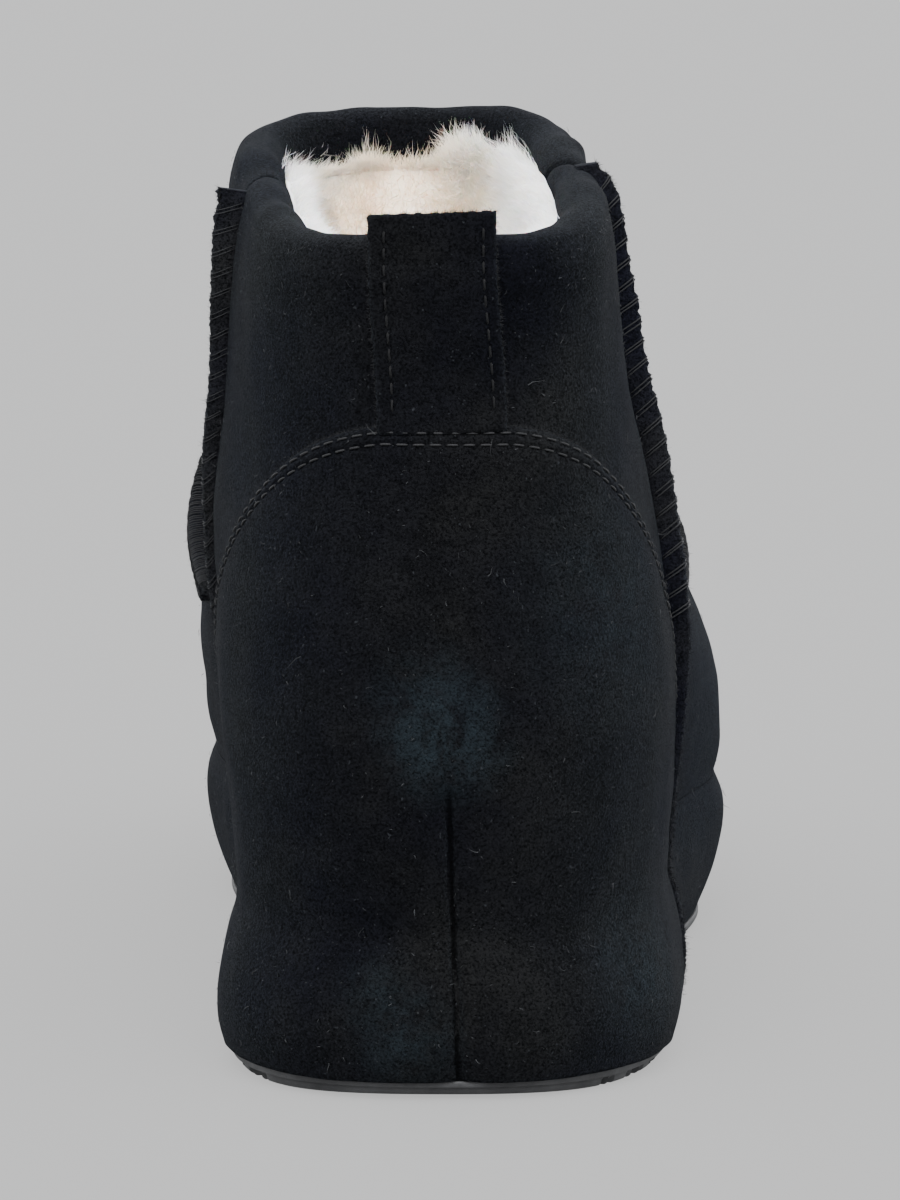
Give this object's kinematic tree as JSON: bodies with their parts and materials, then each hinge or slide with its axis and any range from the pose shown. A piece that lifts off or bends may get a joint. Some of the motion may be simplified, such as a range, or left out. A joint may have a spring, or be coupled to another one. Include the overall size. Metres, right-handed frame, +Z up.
{
  "type": "sheepskin ankle boot",
  "caption": "Short pull-on ankle boot in black suede with a thick cream wool lining, on a flat suede-covered platform with a thin rubber outsole, for the right foot.",
  "frame": {"origin": "on the floor, under the middle of the boot's bounding box", "axes": "+Y towards the toes, +X towards the outer side of the right foot, +Z up"},
  "size_m": [0.1076, 0.2698, 0.1698],
  "materials": {
    "outsole_rubber": "matte, with fine mould texture",
    "platform_suede": "black suede over firm foam",
    "insole_wool": "cream wool fleece",
    "upper_suede": "black suede with a short nap",
    "heel_cover_suede": "black suede, rubbed at the heel",
    "facing_suede": "black suede",
    "lining_wool": "deep cream sheep's wool",
    "seam_suede": "black suede with raw fuzzy edges",
    "tab_suede": "black suede"
  },
  "bodies": {
    "root": {"outsole": "outsole_rubber", "platform": "platform_suede", "insole": "insole_wool", "upper": "upper_suede", "heel_cover": "heel_cover_suede", "collar_facing": "facing_suede", "wool_lining": "lining_wool", "side_seam_outer": "seam_suede", "side_seam_inner": "seam_suede", "instep_seam": "seam_suede", "pull_tab": "tab_suede"}
  },
  "joints": []
}
